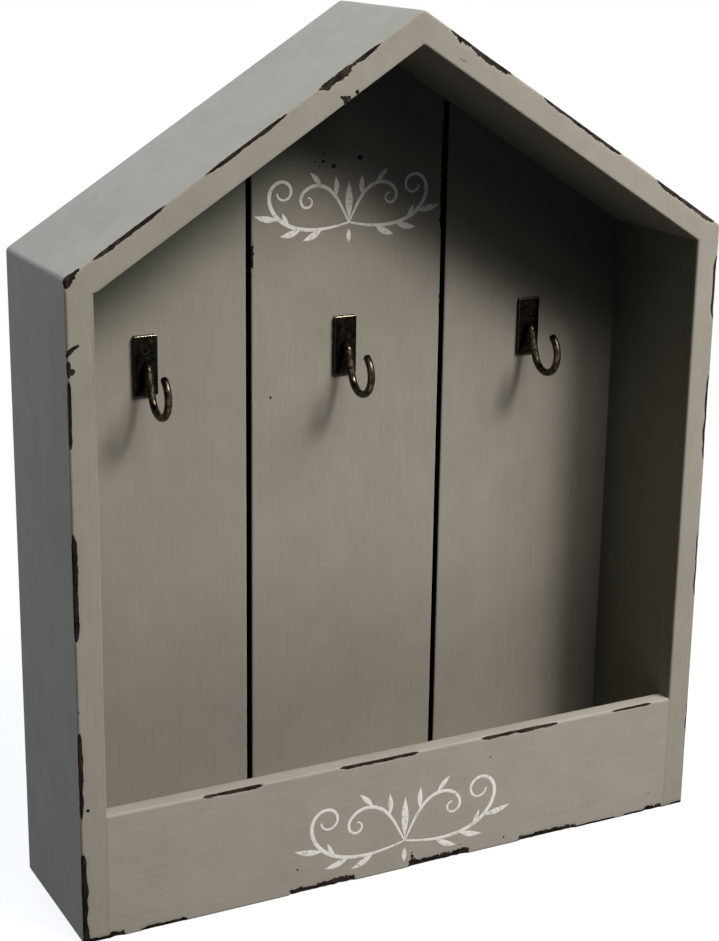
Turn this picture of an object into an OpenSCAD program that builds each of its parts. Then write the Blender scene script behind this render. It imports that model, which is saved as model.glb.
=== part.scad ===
// House-shaped wall organizer: a mitred frame with three back planks,
// a letter pocket behind a low front board, and three wire hooks.
// X runs to the right, Y to the back, Z up; the origin is under the middle of the base.

/* [House] */
// Width over the two walls
house_w = 250; // [235:1:300]
// Height of the outer eave corners
eave_h = 231; // [215:1:280]
// Height at which the two outer roof faces would meet
ridge_h = 310; // [290:1:370]
// Depth from the front edges to the back
house_d = 60; // [54:1:100]
// Thickness of the wall and roof boards
frame_t = 9.5; // [8:0.5:13]
// Radius of the sanded eave and ridge corners
corner_r = 1.8; // [1.2:0.1:4]
// Width of the sanded arris along front and back edges
ease = 0.7; // [0.3:0.1:0.9]

/* [Letter pocket] */
// Height of the front board
pocket_h = 46.5; // [30:0.5:70]
// Thickness of the front board
pocket_t = 6.5; // [5:0.5:10]
// Thickness of the bottom board
bottom_t = 9.5; // [7:0.5:14]

/* [Back planks] */
// Thickness of the three planks
plank_t = 9.5; // [9:0.5:14]
// Open gap between two planks
plank_gap = 1.9; // [1:0.1:3]
// Width of the middle plank, while the outer two take what is left
middle_plank_w = 76.7; // [66:0.1:84]
// Sideways shift of the middle plank from the house's middle, negative to the left
plank_shift = -0.65; // [-3:0.05:3]

/* [Hooks] */
// Height of the hook plates' centres above the base
hook_h = 188.2; // [150:0.1:195]
// Sideways step of the hooks from the planks' centre lines, negative to the left
hook_step = -1.5; // [-6:0.1:6]
// Width of a hook plate
plate_w = 9; // [8:0.1:14]
// Height of a hook plate
plate_h = 21.5; // [20:0.1:30]
// Thickness of a hook plate
plate_t = 1.5; // [1.4:0.1:2.5]
// Corner radius of a hook plate
plate_corner_r = 0.6; // [0.3:0.1:1.5]
// Diameter of the hook wire
wire_d = 2.7; // [2.4:0.1:3.5]
// Radius of the bend at the plate, along the wire's middle
bend_r = 2.4; // [2:0.1:4]
// Angle of the wire's leg away from the plate
leg_lean = 20; // [12:1:28]
// Length of the straight leg
leg_l = 9.3; // [7:0.1:12]
// Radius of the hook's bowl, along the wire's middle
bowl_r = 7.7; // [6:0.1:9]
// Angle through which the bowl turns
bowl_turn = 218; // [190:1:235]
// Diameter of the tenon that joins the wire to its plate
tenon_d = 1.9; // [1.4:0.1:2.2]
// Diameter of the riveted head behind the plate
rivet_d = 3.2; // [2.6:0.1:3.6]
// Height of the riveted head
rivet_h = 0.9; // [0.6:0.1:1.4]
// Height of the screw above the plate's centre
screw_rise = 5.6; // [4.6:0.1:7]
// Head diameter of the hook screws
screw_head_d = 3.9; // [3.2:0.1:4.3]
// Shank diameter of the hook screws
screw_d = 1.9; // [1.6:0.1:2.2]
// Wood left behind the tip of a hook screw
screw_cover = 2; // [1:0.1:4]

/* [Hangers] */
// Distance of the hanger plates from the middle
hanger_x = 74; // [66:1:82]
// Height from the roof's underside down to a hanger plate
hanger_drop = 5; // [3:0.5:30]
// Thickness of a hanger plate
hanger_t = 2; // [1.5:0.1:2.2]
// Diameter of the keyhole's entry
entry_d = 8.5; // [7:0.1:9.5]
// Width of the keyhole's slot
slot_w = 4.4; // [3.5:0.1:5]
// Rise of the slot above the entry's centre
slot_rise = 10; // [7:0.5:12]
// Room round the wall screw's head in its pocket
head_room = 0.75; // [0.5:0.05:1.5]
// Depth of the pocket for the wall screw's head
head_depth = 4.5; // [4.2:0.1:4.8]
// Width of metal beside the pocket
hanger_rim = 2; // [1.5:0.1:3]
// Length of metal beyond the pocket at each end
hanger_land = 9; // [7.5:0.5:12]
// Head diameter of the hanger screws
hanger_head_d = 4.6; // [3.8:0.1:5]
// Shank diameter of the hanger screws
hanger_screw_d = 2.4; // [2:0.1:2.8]
// Wood left in front of the tip of a hanger screw
hanger_cover = 2.5; // [1:0.1:4]

/* [Brads] */
// Length of a brad
brad_l = 25; // [18:1:25]
// Diameter of a brad
brad_d = 1.2; // [1:0.1:1.6]
// Diameter of a brad's head
brad_head_d = 2; // [1.8:0.1:2.6]
// Height of a brad's head
brad_head_h = 0.8; // [0.5:0.1:1.2]
// Depth to which the brads of the walls and the roof are sunk
brad_sink = 1.2; // [1:0.1:2]

/* [Clearances] */
// Radial clearance of screws, tenons and brads in their bores
bore_gap = 0.02; // [0.01:0.01:0.05]
// Clearance round a hanger plate in its recess
recess_gap = 0.3; // [0.1:0.05:0.6]
// Glue line between the planks' tops and the roof
glue_line = 0.02; // [0.01:0.01:0.2]
// Depth of a countersunk head below its plate's face
head_set = 0.25; // [0.1:0.05:0.3]

/* [Hidden] */

$fn = 48;
// Steps in each rounded corner, the reach of a cut past a face, and the depth of a hull's end slice
arc_steps = 4;
past = 1;
slice = 0.01;
// Width of a riveted head's crown as a share of its foot, and of the wire's round tip as one of the wire
rivet_crown = 0.7;
tip_share = 0.97;

paint = [0.62, 0.58, 0.53];
plank_paint = [0.53, 0.50, 0.46];
bronze = [0.20, 0.15, 0.11];
steel = [0.74, 0.74, 0.72];

half_w = house_w / 2;
front = -house_d / 2;
back = house_d / 2;
slope = atan2(ridge_h - eave_h, half_w);
inner_w = house_w - 2 * frame_t;
plank_front = back - plank_t;
plank_mid = back - plank_t / 2;

// Height of the roof's outer face, and of its underside, over a place x
function roof_top(x) = ridge_h - abs(x) * tan(slope);
function roof_under(x) = roof_top(x) - frame_t / cos(slope);

// The gable outline in the X-Z plane, moved inward by a distance, with its foot at a height
function gable(inset, foot) =
    let (w = half_w - inset, sink = inset / cos(slope))
    [[-w, foot], [w, foot], [w, roof_top(w) - sink], [0, ridge_h - sink], [-w, roof_top(w) - sink]];

// The points of an outline whose corner i is an arc of radius radii[i], or stays sharp at 0
function unit(v) = v / norm(v);
function corner_arc(a, b, c, r) =
    let (u = unit(a - b),
         v = unit(c - b),
         half = acos(u * v) / 2,
         centre = b + unit(u + v) * r / sin(half),
         start = b + u * r / tan(half) - centre,
         turn = (cross(u, v) < 0 ? 1 : -1) * (180 - 2 * half))
    [for (k = [0:arc_steps])
        let (t = turn * k / arc_steps)
        centre + [start.x * cos(t) - start.y * sin(t), start.x * sin(t) + start.y * cos(t)]];
function rounded(points, radii) =
    let (n = len(points))
    [for (i = [0:n - 1])
        each (radii[i] > 0
            ? corner_arc(points[(i + n - 1) % n], points[i], points[(i + 1) % n], radii[i])
            : [points[i]])];

// Left and right edge of each plank
middle_plank = [plank_shift - middle_plank_w / 2, plank_shift + middle_plank_w / 2];
left_plank = [-inner_w / 2, middle_plank[0] - plank_gap];
right_plank = [middle_plank[1] + plank_gap, inner_w / 2];
planks = [left_plank, middle_plank, right_plank];

// Places of the hooks, in the planks' order
hook_x = [for (span = planks) (span[0] + span[1]) / 2 + hook_step];
screw_head_h = (screw_head_d - screw_d) / 2;
screw_l = plate_t - head_set + plank_t - screw_cover;

// Hanger plates, with the keyhole centred on the plate
pocket_w = entry_d + 2 * head_room;
hanger_w = pocket_w + 2 * hanger_rim;
hanger_l = slot_rise + pocket_w + 2 * hanger_land;
hanger_z = roof_under(hanger_x + hanger_w / 2) - hanger_drop - hanger_l / 2;
hanger_screw_z = hanger_l / 2 - hanger_land / 2;
hanger_head_h = (hanger_head_d - hanger_screw_d) / 2;
hanger_screw_l = plank_t - hanger_cover;

// Places of the brads
plank_brad_x = [for (span = planks, share = [0.25, 0.75]) span[0] + share * (span[1] - span[0])];
front_brad_z = [for (share = [0.25, 0.75]) share * pocket_h];
wall_brad_z = [for (share = [0.3, 0.55, 0.8]) share * eave_h];
cross_brad_y = [for (side = [-1, 1]) side * house_d / 6];
ridge_brad_z = roof_under(0) + brad_head_d;
ridge_brad_x = (ridge_h - ridge_brad_z) / tan(slope) - brad_sink / tan(slope);

// Gives a shape drawn in the X-Z plane depth from y0 to y1
module across_depth(y0, y1) {
    translate([0, y1, 0])
        rotate([90, 0, 0])
            linear_extrude(y1 - y0)
                children();
}

// The whole house as one block, with its corners rounded and its front and back arrises eased
module eased_house() {
    foot_r = [ease, ease];
    top_r = [corner_r, corner_r, corner_r];
    hull() {
        across_depth(front + ease, back - ease)
            polygon(rounded(gable(0, 0), concat(foot_r, top_r)));
        across_depth(front, back)
            polygon(rounded(gable(ease, ease), concat(0 * foot_r, top_r - ease * [1, 1, 1])));
    }
}

// The eased arris round the front opening, above the front board
module opening_flare() {
    hull() {
        across_depth(front - ease, front - ease + slice)
            polygon(gable(frame_t - 2 * ease, pocket_h));
        across_depth(front + ease - slice, front + ease)
            polygon(gable(frame_t, pocket_h));
    }
}

// A frame board: an outline of the X-Z plane through the whole depth
module frame_board(outline) {
    difference() {
        intersection() {
            eased_house();
            across_depth(front, back)
                polygon(outline);
        }
        opening_flare();
    }
}

// A brad with its head's top at the origin, pointing down
module brad(length) {
    translate([0, 0, -brad_head_h])
        cylinder(d = brad_head_d, h = brad_head_h);
    translate([0, 0, brad_d - length])
        cylinder(d = brad_d, h = length - brad_d - brad_head_h);
    translate([0, 0, -length])
        cylinder(d1 = brad_d / 4, d2 = brad_d, h = brad_d);
}

// The bore for a brad, open above its head
module brad_bore(length) {
    translate([0, 0, -brad_head_h])
        cylinder(d = brad_head_d + 2 * bore_gap, h = brad_head_h + 2 * brad_sink);
    translate([0, 0, -length - bore_gap])
        cylinder(d = brad_d + 2 * bore_gap, h = length);
}

// Places of the left wall's brads: into the front board, the bottom board and the plank
module at_wall_brads() {
    wall_x = brad_sink - half_w;
    for (z = front_brad_z) {
        translate([wall_x, front + pocket_t / 2, z])
            rotate([0, -90, 0])
                children();
    }
    for (y = cross_brad_y) {
        translate([wall_x, y, bottom_t / 2])
            rotate([0, -90, 0])
                children();
    }
    for (z = wall_brad_z) {
        translate([wall_x, plank_mid, z])
            rotate([0, -90, 0])
                children();
    }
}

// Places of the upright roof brads of one side: into the wall's top and the planks' tops
module at_roof_brads(side) {
    wall_mid = side * (half_w - frame_t / 2);
    for (y = cross_brad_y) {
        translate([wall_mid, y, roof_top(wall_mid) - brad_sink])
            children();
    }
    for (x = plank_brad_x) {
        if (x * side > 0) {
            translate([x, plank_mid, roof_top(x) - brad_sink])
                children();
        }
    }
}

// Places of the two level brads through the ridge mitre
module at_ridge_brads() {
    for (y = cross_brad_y) {
        translate([-ridge_brad_x, y, ridge_brad_z])
            rotate([0, -90, 0])
                children();
    }
}

// Places of the brads through the planks into the bottom board's back edge
module at_plank_brads() {
    for (x = plank_brad_x) {
        translate([x, back, bottom_t / 2])
            rotate([-90, 0, 0])
                children();
    }
}

// A countersunk screw with its tip down and the centre of its head's top at the origin
module screw(head_d, shank_d, length) {
    head_h = (head_d - shank_d) / 2;
    recess_w = head_d * 0.16;
    difference() {
        union() {
            translate([0, 0, -head_h])
                cylinder(d1 = shank_d, d2 = head_d, h = head_h);
            translate([0, 0, shank_d - length])
                cylinder(d = shank_d, h = length - shank_d - head_h);
            translate([0, 0, -length])
                cylinder(d1 = shank_d / 5, d2 = shank_d, h = shank_d);
        }
        for (turn = [0, 90]) {
            rotate([0, 0, turn])
                cube([head_d * 0.6, recess_w, head_h], center = true);
        }
    }
}

// The countersink and shank hole for such a screw, whose head lies below the face at z = 0
module countersink(head_d, shank_d, set, depth) {
    rise = set + bore_gap;
    translate([0, 0, -set - (head_d - shank_d) / 2])
        cylinder(d1 = shank_d + 2 * bore_gap, d2 = head_d + 2 * rise, h = (head_d - shank_d) / 2 + set);
    translate([0, 0, -slice])
        cylinder(d = head_d + 2 * rise, h = past);
    translate([0, 0, -depth])
        cylinder(d = shank_d + 2 * bore_gap, h = depth);
}

// Left wall, with its top cut to the mitre under the eave
module left_wall_board() {
    eave_in = [-inner_w / 2, roof_under(inner_w / 2)];
    difference() {
        frame_board([[-half_w, 0], [-inner_w / 2, 0], eave_in, [-half_w, eave_h]]);
        at_wall_brads()
            brad_bore(brad_l);
        at_roof_brads(-1)
            brad_bore(brad_l);
    }
}

// Left half of the roof, cut to the mitres at the eave and the ridge
module left_roof_board() {
    eave_in = [-inner_w / 2, roof_under(inner_w / 2)];
    frame_board([[-half_w, eave_h], eave_in, [0, roof_under(0)], [0, ridge_h]]);
}

module left_wall() {
    color(paint) left_wall_board();
}

module right_wall() {
    color(paint) mirror([1, 0, 0]) left_wall_board();
}

module left_roof() {
    color(paint) difference() {
        left_roof_board();
        at_roof_brads(-1)
            brad_bore(brad_l);
        at_ridge_brads()
            brad_bore(2 * ridge_brad_x);
    }
}

module right_roof() {
    color(paint) difference() {
        mirror([1, 0, 0]) left_roof_board();
        at_roof_brads(1)
            brad_bore(brad_l);
        at_ridge_brads()
            brad_bore(2 * ridge_brad_x);
    }
}

// Front board of the letter pocket, between the walls and flush with their front edges
module front_board() {
    section = [[front, 0], [front + pocket_t, 0], [front + pocket_t, pocket_h], [front, pocket_h]];
    color(paint) difference() {
        intersection() {
            eased_house();
            translate([-inner_w / 2, 0, 0])
                rotate([90, 0, 90])
                    linear_extrude(inner_w)
                        polygon(rounded(section, [0, 0, ease, ease]));
        }
        at_wall_brads()
            brad_bore(brad_l);
        mirror([1, 0, 0])
            at_wall_brads()
                brad_bore(brad_l);
    }
}

// Bottom board, between the walls, the front board and the planks
module bottom_board() {
    color(paint) difference() {
        translate([-inner_w / 2, front + pocket_t, 0])
            cube([inner_w, plank_front - front - pocket_t, bottom_t]);
        at_wall_brads()
            brad_bore(brad_l);
        mirror([1, 0, 0])
            at_wall_brads()
                brad_bore(brad_l);
        at_plank_brads()
            brad_bore(brad_l);
    }
}

// Cuts for one hook in its plank: the screw's bore and the blind hole for the riveted head
module hook_seat(x) {
    translate([x, plank_front, hook_h]) {
        translate([0, -past, screw_rise])
            rotate([-90, 0, 0])
                cylinder(d = screw_d + 2 * bore_gap, h = screw_l - plate_t + head_set + past + bore_gap);
        translate([0, -past, 0])
            rotate([-90, 0, 0])
                cylinder(d = rivet_d + 2 * recess_gap, h = rivet_h + recess_gap + past);
    }
}

// An upright slot shape in the X-Z plane, its end centres a length apart
module slot_shape(width, length) {
    square([width, length], center = true);
    for (side = [-1, 1]) {
        translate([0, side * length / 2])
            circle(d = width);
    }
}

// Cuts for one hanger plate in its plank: recess, head pocket and screw bores
module hanger_seat(x) {
    translate([x, 0, hanger_z]) {
        across_depth(back - hanger_t, back + past)
            slot_shape(hanger_w + 2 * recess_gap, hanger_l - hanger_w);
        across_depth(back - hanger_t - head_depth, back - hanger_t + slice)
            slot_shape(pocket_w, slot_rise);
        for (side = [-1, 1]) {
            translate([0, back, side * hanger_screw_z])
                rotate([90, 0, 0])
                    cylinder(d = hanger_screw_d + 2 * bore_gap, h = hanger_screw_l + head_set + bore_gap);
        }
    }
}

// A back plank between two edges, its top cut to the roof's underside; eased marks its gap edges
module plank(span, eased) {
    top_x = span[0] < 0 && span[1] > 0 ? [span[1], 0, span[0]] : [span[1], span[0]];
    outline = concat([[span[0], 0], [span[1], 0]],
                     [for (x = top_x) [x, roof_under(x) - glue_line]]);
    section = [[span[0], plank_front], [span[1], plank_front], [span[1], back], [span[0], back]];
    intersection() {
        across_depth(plank_front - past, back + past)
            polygon(outline);
        linear_extrude(ridge_h)
            polygon(rounded(section, [eased[0] * ease, eased[1] * ease, 0, 0]));
    }
}

module back_plank_left() {
    color(plank_paint) difference() {
        plank(left_plank, [0, 1]);
        hook_seat(hook_x[0]);
        hanger_seat(-hanger_x);
        at_wall_brads()
            brad_bore(brad_l);
        at_roof_brads(-1)
            brad_bore(brad_l);
        at_plank_brads()
            brad_bore(brad_l);
    }
}

module back_plank_middle() {
    color(plank_paint) difference() {
        plank(middle_plank, [1, 1]);
        hook_seat(hook_x[1]);
        for (side = [-1, 1]) {
            at_roof_brads(side)
                brad_bore(brad_l);
        }
        at_plank_brads()
            brad_bore(brad_l);
    }
}

module back_plank_right() {
    color(plank_paint) difference() {
        plank(right_plank, [1, 0]);
        hook_seat(hook_x[2]);
        hanger_seat(hanger_x);
        mirror([1, 0, 0])
            at_wall_brads()
                brad_bore(brad_l);
        at_roof_brads(1)
            brad_bore(brad_l);
        at_plank_brads()
            brad_bore(brad_l);
    }
}

// Plate of a hook, with the screw's countersink and the hole for the wire's tenon
module hook_plate(x) {
    corners = [[-1, -1], [1, -1], [1, 1], [-1, 1]];
    outline = [for (c = corners) [c.x * plate_w / 2, c.y * plate_h / 2]];
    color(bronze) translate([x, plank_front, hook_h]) difference() {
        across_depth(-plate_t, 0)
            polygon(rounded(outline, plate_corner_r * [1, 1, 1, 1]));
        translate([0, -plate_t, screw_rise])
            rotate([90, 0, 0])
                countersink(screw_head_d, screw_d, head_set, plate_t + past);
        translate([0, -plate_t - past, 0])
            rotate([-90, 0, 0])
                cylinder(d = tenon_d + 2 * bore_gap, h = plate_t + 2 * past);
    }
}

// J-shaped wire of a hook, drawn with X outward from the plank and Y up, riveted behind the plate.
// The bend, the leg and the bowl share one frame that leans with the leg.
module hook_wire(x) {
    bowl_centre = [bend_r + bowl_r, -leg_l];
    color(bronze) translate([x, plank_front, hook_h]) rotate([90, 0, -90]) {
        translate([-rivet_h, 0])
            rotate([0, 90, 0])
                cylinder(d1 = rivet_d * rivet_crown, d2 = rivet_d, h = rivet_h);
        rotate([0, 90, 0])
            cylinder(d = tenon_d, h = plate_t + bore_gap);
        translate([plate_t, -bend_r]) rotate([0, 0, leg_lean]) {
            rotate_extrude(angle = 90 - leg_lean)
                translate([bend_r, 0])
                    circle(d = wire_d);
            translate([bend_r, 0])
                rotate([90, 0, 0])
                    cylinder(d = wire_d, h = leg_l);
            translate(bowl_centre) rotate([0, 0, 180])
                rotate_extrude(angle = bowl_turn)
                    translate([bowl_r, 0])
                        circle(d = wire_d);
            translate(bowl_centre) rotate([0, 0, 180 + bowl_turn])
                translate([bowl_r, 0])
                    sphere(d = wire_d * tip_share);
        }
    }
}

// Screw of a hook, turned by an angle as the driver left it
module hook_screw(x, turn) {
    color(bronze)
        translate([x, plank_front - plate_t + head_set, hook_h + screw_rise])
            rotate([90, 0, 0])
                rotate([0, 0, turn])
                    screw(screw_head_d, screw_d, screw_l);
}

// Keyhole plate let into the back of a plank
module hanger_plate(x) {
    color(steel) translate([x, 0, hanger_z]) difference() {
        across_depth(back - hanger_t, back)
            slot_shape(hanger_w, hanger_l - hanger_w);
        translate([0, back + past, -slot_rise / 2])
            rotate([90, 0, 0])
                cylinder(d = entry_d, h = hanger_t + 2 * past);
        across_depth(back - hanger_t - past, back + past)
            slot_shape(slot_w, slot_rise);
        for (side = [-1, 1]) {
            translate([0, back, side * hanger_screw_z])
                rotate([-90, 0, 0])
                    countersink(hanger_head_d, hanger_screw_d, head_set, hanger_t + past);
        }
    }
}

// The two screws of a hanger plate
module hanger_screws(x) {
    color(steel) for (side = [-1, 1]) {
        translate([x, back - head_set, hanger_z + side * hanger_screw_z])
            rotate([-90, 0, 0])
                rotate([0, 0, side * 20])
                    screw(hanger_head_d, hanger_screw_d, hanger_screw_l);
    }
}

module wall_brads_left() {
    color(steel) at_wall_brads()
        brad(brad_l);
}

module wall_brads_right() {
    color(steel) mirror([1, 0, 0]) at_wall_brads()
        brad(brad_l);
}

module roof_brads_left() {
    color(steel) {
        at_roof_brads(-1)
            brad(brad_l);
        at_ridge_brads()
            brad(2 * ridge_brad_x);
    }
}

module roof_brads_right() {
    color(steel) at_roof_brads(1)
        brad(brad_l);
}

module plank_brads() {
    color(steel) at_plank_brads()
        brad(brad_l);
}

left_wall();
right_wall();
left_roof();
right_roof();
front_board();
bottom_board();
back_plank_left();
back_plank_middle();
back_plank_right();
hook_plate(hook_x[0]);  // hook_plate_left
hook_plate(hook_x[1]);  // hook_plate_middle
hook_plate(hook_x[2]);  // hook_plate_right
hook_wire(hook_x[0]);  // hook_wire_left
hook_wire(hook_x[1]);  // hook_wire_middle
hook_wire(hook_x[2]);  // hook_wire_right
hook_screw(hook_x[0], 12);  // hook_screw_left
hook_screw(hook_x[1], 38);  // hook_screw_middle
hook_screw(hook_x[2], 65);  // hook_screw_right
hanger_plate(-hanger_x);  // hanger_plate_left
hanger_plate(hanger_x);  // hanger_plate_right
hanger_screws(-hanger_x);  // hanger_screws_left
hanger_screws(hanger_x);  // hanger_screws_right
wall_brads_left();
wall_brads_right();
roof_brads_left();
roof_brads_right();
plank_brads();
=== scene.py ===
"""Looks of the wall mail organizer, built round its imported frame.

Metres, X to the right, Z up, the open front towards -Y. The boards of the house are remade here
with eased and worn arrises, and the hooks' plates and wires with rounded edges. Planks, bottom board,
screws, hangers and brads keep their solids and get their finish.
"""

import math

import bmesh
import bpy
from mathutils import Matrix, Vector, noise


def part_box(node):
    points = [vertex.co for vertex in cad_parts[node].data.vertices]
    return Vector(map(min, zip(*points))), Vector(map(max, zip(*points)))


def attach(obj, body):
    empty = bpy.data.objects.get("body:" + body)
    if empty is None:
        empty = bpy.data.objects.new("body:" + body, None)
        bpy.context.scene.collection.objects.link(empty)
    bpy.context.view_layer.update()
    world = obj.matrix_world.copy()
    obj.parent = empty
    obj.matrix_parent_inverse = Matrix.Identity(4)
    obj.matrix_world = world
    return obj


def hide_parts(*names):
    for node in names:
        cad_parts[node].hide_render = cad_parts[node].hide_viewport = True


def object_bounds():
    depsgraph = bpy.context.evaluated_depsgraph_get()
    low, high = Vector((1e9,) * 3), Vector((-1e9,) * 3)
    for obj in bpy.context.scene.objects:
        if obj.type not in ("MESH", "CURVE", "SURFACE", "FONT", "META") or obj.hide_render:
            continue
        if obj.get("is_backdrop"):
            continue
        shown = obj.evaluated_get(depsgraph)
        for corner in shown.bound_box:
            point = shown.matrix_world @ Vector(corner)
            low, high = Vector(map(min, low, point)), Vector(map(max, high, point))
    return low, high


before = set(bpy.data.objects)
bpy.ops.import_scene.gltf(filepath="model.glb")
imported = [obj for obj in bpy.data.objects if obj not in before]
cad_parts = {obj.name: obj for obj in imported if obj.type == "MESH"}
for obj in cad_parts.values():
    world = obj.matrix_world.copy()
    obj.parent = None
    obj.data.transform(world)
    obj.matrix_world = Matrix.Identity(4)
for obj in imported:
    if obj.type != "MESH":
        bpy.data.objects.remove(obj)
cad_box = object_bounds()

MM = 0.001
TINY = 0.01 * MM  # lengths closer than this count as equal
SAME = TINY / 10  # points closer than this are one point

# The house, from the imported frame; the two heights are those of the outer corners before rounding
wall_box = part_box("left_wall")
board_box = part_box("front_board")
plank_boxes = [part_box("back_plank_" + side) for side in ("left", "middle", "right")]
half_w = cad_box[1].x
front_y = cad_box[0].y
back_y = cad_box[1].y
frame_t = wall_box[1].x - wall_box[0].x
inner_half_w = half_w - frame_t
pocket_h = board_box[1].z
plank_front_y = plank_boxes[0][0].y
eave_h = 231 * MM
ridge_h = 310 * MM
slope = math.atan2(ridge_h - eave_h, half_w)
corner_r = 1.8 * MM
ease = 0.8 * MM
roof_under_ridge = ridge_h - frame_t / math.cos(slope)

# Hook wire, as it is bent in the part's source
wire_d = 2.7 * MM
bend_r = 2.4 * MM
leg_lean = math.radians(20)
leg_l = 9.3 * MM
bowl_r = 7.7 * MM
bowl_turn = math.radians(218)

# Hook plate, also as in the source; its screw sits above its centre
plate_corner_r = 0.6 * MM
plate_ease = 0.35 * MM
screw_rise = 5.6 * MM
sink_d = 4.44 * MM
bore_d = 1.94 * MM


class Signal:
    """A shader socket; arithmetic on it adds Math nodes, and node() adds any other node to its tree."""

    def __init__(self, tree, socket=None):
        self.tree = tree
        self.socket = socket

    def node(self, kind, settings=None, inputs=None, output=0):
        made = self.tree.nodes.new("ShaderNode" + kind)
        for name, value in (settings or {}).items():
            setattr(made, name, value)
        for name, value in (inputs or {}).items():
            if isinstance(value, Signal):
                self.tree.links.new(value.socket, made.inputs[name])
            else:
                made.inputs[name].default_value = value
        return Signal(self.tree, made.outputs[output])

    def math(self, operation, *values):
        return self.node("Math", {"operation": operation}, dict(enumerate(values)))

    def __add__(self, other):
        return self.math("ADD", self, other)

    def __radd__(self, other):
        return self.math("ADD", other, self)

    def __sub__(self, other):
        return self.math("SUBTRACT", self, other)

    def __rsub__(self, other):
        return self.math("SUBTRACT", other, self)

    def __mul__(self, other):
        return self.math("MULTIPLY", self, other)

    def __rmul__(self, other):
        return self.math("MULTIPLY", other, self)

    def __truediv__(self, other):
        return self.math("DIVIDE", self, other)

    def __abs__(self):
        return self.math("ABSOLUTE", self)

    def smaller(self, other):
        return self.math("MINIMUM", self, other)

    def larger(self, other):
        return self.math("MAXIMUM", self, other)

    def step(self, low, high):
        """0 at low and 1 at high, smooth between them."""
        ends = {"Value": self, "From Min": low, "From Max": high, "To Min": 0.0, "To Max": 1.0}
        return self.node("MapRange", {"interpolation_type": "SMOOTHSTEP"}, ends)

    def part(self, axis):
        return self.node("SeparateXYZ", inputs={"Vector": self}, output=axis)

    def tint(self, low, high):
        """The colour low where this signal is 0 and high where it is 1."""
        return self.node("Mix", {"data_type": "RGBA"}, {0: self, 6: low, 7: high}, 2)

    def grain(self, size, detail=3.0, stretch=(1.0, 1.0, 1.0), place=(0.0, 0.0, 0.0)):
        """Noise of about that size in metres, from 0 to 1, on these coordinates."""
        scale = [s / size for s in stretch]
        spot = self.node("Mapping", inputs={"Vector": self, "Location": place, "Scale": scale})
        return self.node("TexNoise", inputs={"Vector": spot, "Scale": 1.0, "Detail": detail})

    def away_from(self, point):
        """Distance of these coordinates from a point."""
        return self.node("VectorMath", {"operation": "DISTANCE"}, {0: self, 1: point}, "Value")


def display(red, green, blue):
    """The linear colour of three 0 to 255 display values, as a socket takes it."""
    parts = [value / 255 for value in (red, green, blue)]
    return [c / 12.92 if c <= 0.04045 else ((c + 0.055) / 1.055) ** 2.4 for c in parts] + [1.0]


def new_finish(name, **fixed):
    """A material with constants set on its shader, that shader, and the Signal its nodes start from."""
    material = bpy.data.materials.new(name)
    material.use_nodes = True
    shader = material.node_tree.nodes["Principled BSDF"]
    for socket, value in fixed.items():
        shader.inputs[socket.replace("_", " ")].default_value = value
    return material, shader, Signal(material.node_tree)


def feed(shader, **signals):
    for socket, signal in signals.items():
        shader.id_data.links.new(signal.socket, shader.inputs[socket.replace("_", " ")])


# Paint

TAUPE = display(142, 135, 125)
BOARD_TAUPE = display(147, 140, 131)
PLANK_TAUPE = display(136, 129, 119)
SCROLL_WHITE = display(216, 211, 205)
UNDERCOAT = display(31, 26, 24)
UNDERCOAT_RUBBED = display(56, 48, 43)
# Greenish dark of the painted shade inside the house
PAINTED_SHADE_TONE = display(64, 82, 70)
# Dark of the painted shade down in the pocket, behind the front board
POCKET_SHADE_TONE = display(70, 65, 58)
# How far brush strokes are drawn out along X, Y and Z; a small number is a long stroke
UPRIGHT_BRUSH = (1.0, 1.0, 0.05)
LEVEL_BRUSH = (0.05, 1.0, 1.0)
ROOF_BRUSH = (0.2, 0.06, 0.2)
WEAR_ZERO = 3.0  # the worn attribute is millimetres inside a chip, raised by this so that 0 is far off
PAINT_FILM = 0.22 * MM
STROKE_RELIEF = 0.035 * MM
CLOUD_RELIEF = 0.10 * MM


def chipped(place, depth_in_chip, ragged):
    """Masks of bare undercoat and of the paint's broken lip, from the millimetres inside a chip."""
    coarse = (place.grain(2.2 * MM, 3.0) - 0.5) * 3.0
    fine = (place.grain(0.7 * MM, 2.0) - 0.5) * 1.4
    inside = depth_in_chip + (coarse + fine) * ragged
    return inside.step(-0.08, 0.08), inside.step(-0.4, -0.1)


def worn_spots(place, spots):
    """Millimetres inside the nearest of some round spots, each (x, y, z, radius) in millimetres."""
    found = None
    for x, y, z, radius in spots:
        inside = radius - place.away_from((x * MM, y * MM, z * MM)) / MM
        found = inside if found is None else found.larger(inside)
    return found


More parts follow.
